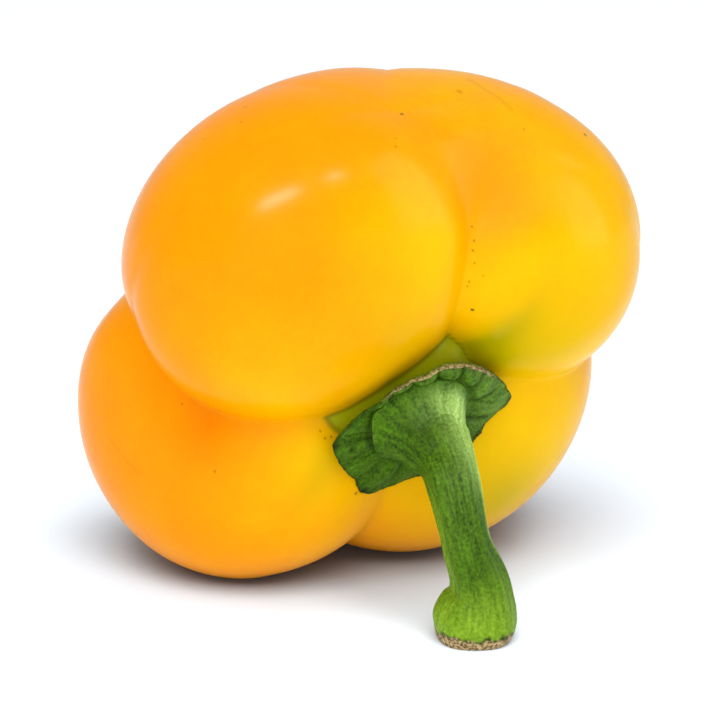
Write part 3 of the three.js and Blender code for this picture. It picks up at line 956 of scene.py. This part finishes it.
def green_stem_skin():
    material, tree = new_material("green_stem_skin")
    place = add_node(tree, "ShaderNodeTexCoord").outputs["Object"]
    drum = add_node(tree, "ShaderNodeAttribute", attribute_name="drum").outputs["Vector"]
    streak = add_node(tree, "ShaderNodeTexNoise", {"Vector": drum, "Scale": 1 / STREAK, "Detail": 3})
    mottle = add_node(tree, "ShaderNodeTexNoise", {
        "Vector": place, "Scale": 1 / (LEAF_MOTTLE * MM), "Detail": 4}).outputs["Fac"]
    streaks = add_node(tree, "ShaderNodeMath", {
        0: streak.outputs["Fac"], 1: STREAK_SHARE}, operation="MULTIPLY")
    tone = add_node(tree, "ShaderNodeMath", {
        0: mottle, 1: 1 - STREAK_SHARE, 2: streaks.outputs[0]}, operation="MULTIPLY_ADD").outputs[0]
    shades = {}
    for name, picks, positions, codes in (
            ("green", tone, TONES, ("#223a05", "#568012")), ("yellow", tone, TONES, ("#587f0e", "#8db22c")),
            ("pale_and_highlight", tone, TONES, ("#74a430", "#c6e486")),
            ("cork", mottle, CORK_TONES, ("#664d2e", "#bda474"))):
        ramp = add_node(tree, "ShaderNodeValToRGB", {"Fac": picks})
        for element, position, code in zip(ramp.color_ramp.elements, positions, codes):
            element.position, element.color = position, linear(code)
        shades[name] = ramp.outputs["Color"]
    colour = shades.pop("green")
    # the dark colour stands for dried tissue and for painted shade
    shades["dried_and_shade"] = linear(DRY_AND_SHADE)
    for name, shade in shades.items():
        share = add_node(tree, "ShaderNodeAttribute", attribute_name=name).outputs["Fac"]
        mix = add_node(tree, "ShaderNodeMix", {0: share, 6: colour, 7: shade}, data_type="RGBA")
        colour = mix.outputs[2]
    bump = add_node(tree, "ShaderNodeBump", {"Height": tone, "Strength": 0.35, "Distance": 0.15 * MM})
    shader = add_node(tree, "ShaderNodeBsdfPrincipled", {
        "Base Color": colour, "Roughness": 0.5, "IOR": 1.42, "Specular IOR Level": 0.08,
        "Normal": bump.outputs["Normal"]})
    add_node(tree, "ShaderNodeOutputMaterial", {"Surface": shader.outputs[0]})
    return material


stem.data.materials.append(green_stem_skin())
print("stem nodes:", len(stem.data.materials[0].node_tree.nodes))

# %% [markdown]
# Floor and light
#
# The pepper lies on a plain board in soft studio light. A pale world gives the fill, and a large
# panel overhead and a weak one in front give the main light without gloss. The streaks on the
# nearest lobe and the sheen at the outline come from panels that only show in the gloss. A board
# bright enough to look white would throw orange light about, so this one is darker and has a light
# of its own, linked to it alone, which also draws the soft contact shadow.

# %% Floor and lights
FLOOR_HALF = 2.5  # metres
FILL = 0.52
WORLD_TINT = (0.94, 1.0, 1.07, 1)
MATT_TINT = (1.0, 0.95, 0.9)
# azimuth and elevation in degrees, distance and size in metres, roll in degrees, power in watts
MATT_LIGHTS = {"overhead": (-4, 63, 1.7, (2.0, 2.0), 0, 25.5), "front_fill": (-4, 8, 1.4, (1.4, 0.8), 0, 6)}
GLOSS_LIGHTS = {
    "long_streak": (-8, 37, 1.4, (0.5, 0.16), 23, 26), "short_streak": (32, 47, 1.4, (0.16, 0.12), 12, 6),
    "side_sheen": (82, 18, 1.3, (0.8, 1.6), 0, 18), "backdrop": (180, 5, 1.5, (2.6, 2.6), 0, 3.5)}
FLOOR_LIGHT = (8, 58, 4, (4.0, 4.0), 0, 565)


def matt_white_board():
    material, tree = new_material("matt_white_board")
    shader = add_node(tree, "ShaderNodeBsdfPrincipled", {
        "Base Color": linear("#a1a6ab"), "Roughness": 1.0, "Specular IOR Level": 0.0})
    add_node(tree, "ShaderNodeOutputMaterial", {"Surface": shader.outputs[0]})
    return material


def panel(name, azimuth, elevation, distance, size, roll, power):
    """A rectangular light that looks at the fruit, from an azimuth right of the camera, in degrees."""
    turn, rise = math.radians(azimuth), math.radians(elevation)
    way = Vector((math.sin(turn) * math.cos(rise), -math.cos(turn) * math.cos(rise), math.sin(rise)))
    data = bpy.data.lights.new(name, "AREA")
    data.shape = "RECTANGLE"
    data.size, data.size_y = size
    data.energy = power
    light = bpy.data.objects.new(name, data)
    light.location = Vector(FRUIT_MIDDLE * MM) + distance * way
    light.rotation_euler = way.to_track_quat("Z", "Y").to_euler()
    light.rotation_euler.rotate_axis("Z", math.radians(roll))
    light.visible_camera = False
    bpy.context.scene.collection.objects.link(light)
    return light


board = bmesh.new()
bmesh.ops.create_grid(board, x_segments=1, y_segments=1, size=FLOOR_HALF)
floor_mesh = bpy.data.meshes.new("floor")
board.to_mesh(floor_mesh)
board.free()
floor = bpy.data.objects.new("floor", floor_mesh)
floor_mesh.materials.append(matt_white_board())
bpy.context.scene.collection.objects.link(floor)

world = bpy.data.worlds.new("studio")
world.use_nodes = True
world.node_tree.nodes["Background"].inputs["Color"].default_value = WORLD_TINT
world.node_tree.nodes["Background"].inputs["Strength"].default_value = FILL
bpy.context.scene.world = world
for panel_name, settings in MATT_LIGHTS.items():
    matt_light = panel(panel_name, *settings)
    matt_light.data.color = MATT_TINT
    matt_light.visible_glossy = False
for panel_name, settings in GLOSS_LIGHTS.items():
    panel(panel_name, *settings).visible_diffuse = False
floor_only = bpy.data.collections.new("floor_only")
floor_only.objects.link(floor)
floor_light = panel("floor_light", *FLOOR_LIGHT)
floor_light.light_linking.receiver_collection = floor_only
floor_light.visible_glossy = False
bpy.context.scene.view_settings.view_transform = "Standard"
